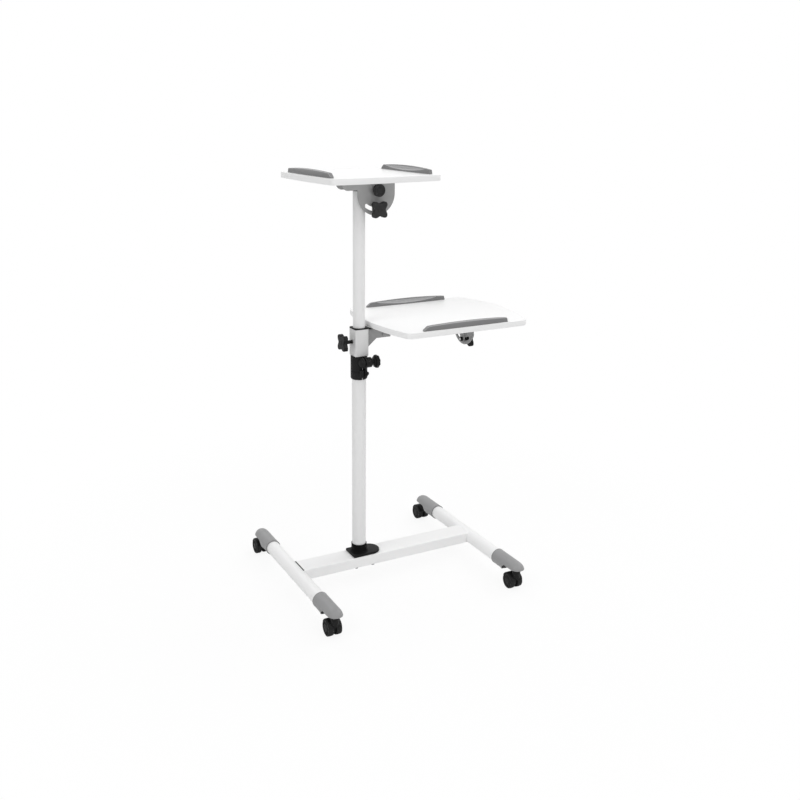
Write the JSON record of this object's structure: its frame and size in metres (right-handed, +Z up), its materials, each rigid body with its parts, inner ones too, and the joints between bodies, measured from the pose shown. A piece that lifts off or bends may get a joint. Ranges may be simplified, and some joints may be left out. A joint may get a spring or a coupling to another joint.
{
  "type": "projector trolley",
  "caption": "Mobile projector trolley: wheeled tube base, telescopic column, small tilting top shelf and a larger tilting side shelf on a swinging arm.",
  "frame": {"origin": "middle of the trolley's footprint, on the floor that its wheels stand on", "axes": "+Z up, +X along the crossbar towards the side shelf and the right foot, +Y along the feet to the back"},
  "size_m": [0.6698, 0.5643, 1.1398],
  "materials": {
    "base_paint": "satin white powder coat",
    "column_paint": "satin white powder coat",
    "cap_plastic": "fine-grained grey",
    "caster_plastic": "satin black",
    "wheel_plastic": "satin black",
    "axle_steel": "bright turned",
    "bolt_steel": "dark zinc plated",
    "socket_plastic": "satin black",
    "clamp_plastic": "satin black",
    "knob_plastic": "satin black",
    "glide_plastic": "plain black",
    "liner_plastic": "satin black",
    "sleeve_paint": "light grey satin coat",
    "bracket_paint": "grey satin coat",
    "tilt_paint": "grey satin coat",
    "stop_plastic": "fine-grained grey",
    "board_laminate": "white laminate on particle board"
  },
  "bodies": {
    "base": {"crossbar": "base_paint", "foot_left": "base_paint", "foot_right": "base_paint", "cap_left_front": "cap_plastic", "cap_left_back": "cap_plastic", "cap_right_front": "cap_plastic", "cap_right_back": "cap_plastic", "column_socket": "socket_plastic", "socket_bolt_left_front": "bolt_steel", "socket_bolt_left_back": "bolt_steel", "socket_bolt_right_front": "bolt_steel", "socket_bolt_right_back": "bolt_steel", "outer_tube": "column_paint", "clamp_collar": "clamp_plastic", "clamp_screw": "bolt_steel"},
    "height_knob": {"height_knob": "knob_plastic"},
    "column_glide": {"column_glide": "glide_plastic"},
    "column": {"inner_tube": "column_paint", "column_cap": "glide_plastic", "head_bracket": "bracket_paint", "upper_pivot_bolt": "knob_plastic", "upper_pivot_nut": "bolt_steel"},
    "upper_lock_knob": {"upper_lock_knob": "knob_plastic"},
    "upper_shelf": {"upper_tilt_channel": "tilt_paint", "upper_board": "board_laminate", "upper_stop_left": "stop_plastic", "upper_stop_right": "stop_plastic"},
    "sleeve_bush": {"sleeve_bush": "glide_plastic"},
    "lower_arm": {"lower_sleeve": "sleeve_paint", "sleeve_liner": "liner_plastic", "root_bracket": "bracket_paint", "root_bolt": "bolt_steel", "arm_tube": "bracket_paint", "arm_end_plate": "bracket_paint", "lower_pivot_bolt": "bolt_steel", "lower_lock_nut": "clamp_plastic"},
    "sleeve_knob": {"sleeve_knob": "knob_plastic"},
    "lower_lock_knob": {"lower_lock_knob": "knob_plastic"},
    "lower_shelf": {"lower_tilt_bracket": "tilt_paint", "lower_board": "board_laminate", "lower_stop_front": "stop_plastic", "lower_stop_back": "stop_plastic"},
    "caster_left_front": {"caster_left_front_body": "caster_plastic", "caster_left_front_axle": "axle_steel"},
    "caster_left_front_wheel_left": {"caster_left_front_wheel_left": "wheel_plastic"},
    "caster_left_front_wheel_right": {"caster_left_front_wheel_right": "wheel_plastic"},
    "caster_left_back": {"caster_left_back_body": "caster_plastic", "caster_left_back_axle": "axle_steel"},
    "caster_left_back_wheel_left": {"caster_left_back_wheel_left": "wheel_plastic"},
    "caster_left_back_wheel_right": {"caster_left_back_wheel_right": "wheel_plastic"},
    "caster_right_front": {"caster_right_front_body": "caster_plastic", "caster_right_front_axle": "axle_steel"},
    "caster_right_front_wheel_left": {"caster_right_front_wheel_left": "wheel_plastic"},
    "caster_right_front_wheel_right": {"caster_right_front_wheel_right": "wheel_plastic"},
    "caster_right_back": {"caster_right_back_body": "caster_plastic", "caster_right_back_axle": "axle_steel"},
    "caster_right_back_wheel_left": {"caster_right_back_wheel_left": "wheel_plastic"},
    "caster_right_back_wheel_right": {"caster_right_back_wheel_right": "wheel_plastic"}
  },
  "joints": [
    {"name": "column_height", "type": "slide", "parent": "base", "child": "column_glide", "axis": [0, 0, 1], "range_m": [0, 0.25]},
    {"name": "column_turn", "type": "hinge", "parent": "column_glide", "child": "column", "pos_m": [-0.12112, -0.00827, 0.26], "axis": [0, 0, 1], "continuous": true},
    {"name": "upper_tilt", "type": "hinge", "parent": "column", "child": "upper_shelf", "pos_m": [-0.08167, -0.00634, 1.082], "axis": [-0.0489, 0.9988, 0], "range_deg": [-24, 30]},
    {"name": "upper_lock_turn", "type": "hinge", "parent": "column", "child": "upper_lock_knob", "pos_m": [-0.08021, -0.0363, 1.033], "axis": [-0.0489, 0.9988, 0], "continuous": true},
    {"name": "arm_height", "type": "slide", "parent": "column", "child": "sleeve_bush", "axis": [0, 0, 1], "range_m": [0, 0.12]},
    {"name": "arm_turn", "type": "hinge", "parent": "sleeve_bush", "child": "lower_arm", "pos_m": [-0.12112, -0.00827, 0.6468], "axis": [0, 0, 1], "continuous": true},
    {"name": "sleeve_knob_turn", "type": "hinge", "parent": "lower_arm", "child": "sleeve_knob", "pos_m": [-0.165, -0.00827, 0.6848], "axis": [1, 0, 0], "continuous": true},
    {"name": "lower_tilt", "type": "hinge", "parent": "lower_arm", "child": "lower_shelf", "pos_m": [0.2, -0.00827, 0.702], "axis": [1, 0, 0], "range_deg": [-30, 30]},
    {"name": "lower_lock_turn", "type": "hinge", "parent": "lower_arm", "child": "lower_lock_knob", "pos_m": [0.22, -0.00827, 0.655], "axis": [1, 0, 0], "continuous": true},
    {"name": "height_knob_turn", "type": "hinge", "parent": "base", "child": "height_knob", "pos_m": [-0.09, -0.03727, 0.6316], "axis": [1, 0, 0], "continuous": true},
    {"name": "swivel_left_front", "type": "hinge", "parent": "base", "child": "caster_left_front", "pos_m": [-0.31362, -0.26127, 0.04], "axis": [0, 0, 1], "continuous": true},
    {"name": "swivel_left_back", "type": "hinge", "parent": "base", "child": "caster_left_back", "pos_m": [-0.31362, 0.24473, 0.04], "axis": [0, 0, 1], "continuous": true},
    {"name": "swivel_right_front", "type": "hinge", "parent": "base", "child": "caster_right_front", "pos_m": [0.23337, -0.26127, 0.04], "axis": [0, 0, 1], "continuous": true},
    {"name": "swivel_right_back", "type": "hinge", "parent": "base", "child": "caster_right_back", "pos_m": [0.23337, 0.24473, 0.04], "axis": [0, 0, 1], "continuous": true},
    {"name": "roll_left_front_left", "type": "hinge", "parent": "caster_left_front", "child": "caster_left_front_wheel_left", "pos_m": [-0.32462, -0.24577, 0.021], "axis": [1, 0, 0], "continuous": true},
    {"name": "roll_left_front_right", "type": "hinge", "parent": "caster_left_front", "child": "caster_left_front_wheel_right", "pos_m": [-0.30262, -0.24577, 0.021], "axis": [1, 0, 0], "continuous": true},
    {"name": "roll_left_back_left", "type": "hinge", "parent": "caster_left_back", "child": "caster_left_back_wheel_left", "pos_m": [-0.32462, 0.26023, 0.021], "axis": [1, 0, 0], "continuous": true},
    {"name": "roll_left_back_right", "type": "hinge", "parent": "caster_left_back", "child": "caster_left_back_wheel_right", "pos_m": [-0.30262, 0.26023, 0.021], "axis": [1, 0, 0], "continuous": true},
    {"name": "roll_right_front_left", "type": "hinge", "parent": "caster_right_front", "child": "caster_right_front_wheel_left", "pos_m": [0.22237, -0.24577, 0.021], "axis": [1, 0, 0], "continuous": true},
    {"name": "roll_right_front_right", "type": "hinge", "parent": "caster_right_front", "child": "caster_right_front_wheel_right", "pos_m": [0.24438, -0.24577, 0.021], "axis": [1, 0, 0], "continuous": true},
    {"name": "roll_right_back_left", "type": "hinge", "parent": "caster_right_back", "child": "caster_right_back_wheel_left", "pos_m": [0.22237, 0.26023, 0.021], "axis": [1, 0, 0], "continuous": true},
    {"name": "roll_right_back_right", "type": "hinge", "parent": "caster_right_back", "child": "caster_right_back_wheel_right", "pos_m": [0.24438, 0.26023, 0.021], "axis": [1, 0, 0], "continuous": true}
  ]
}
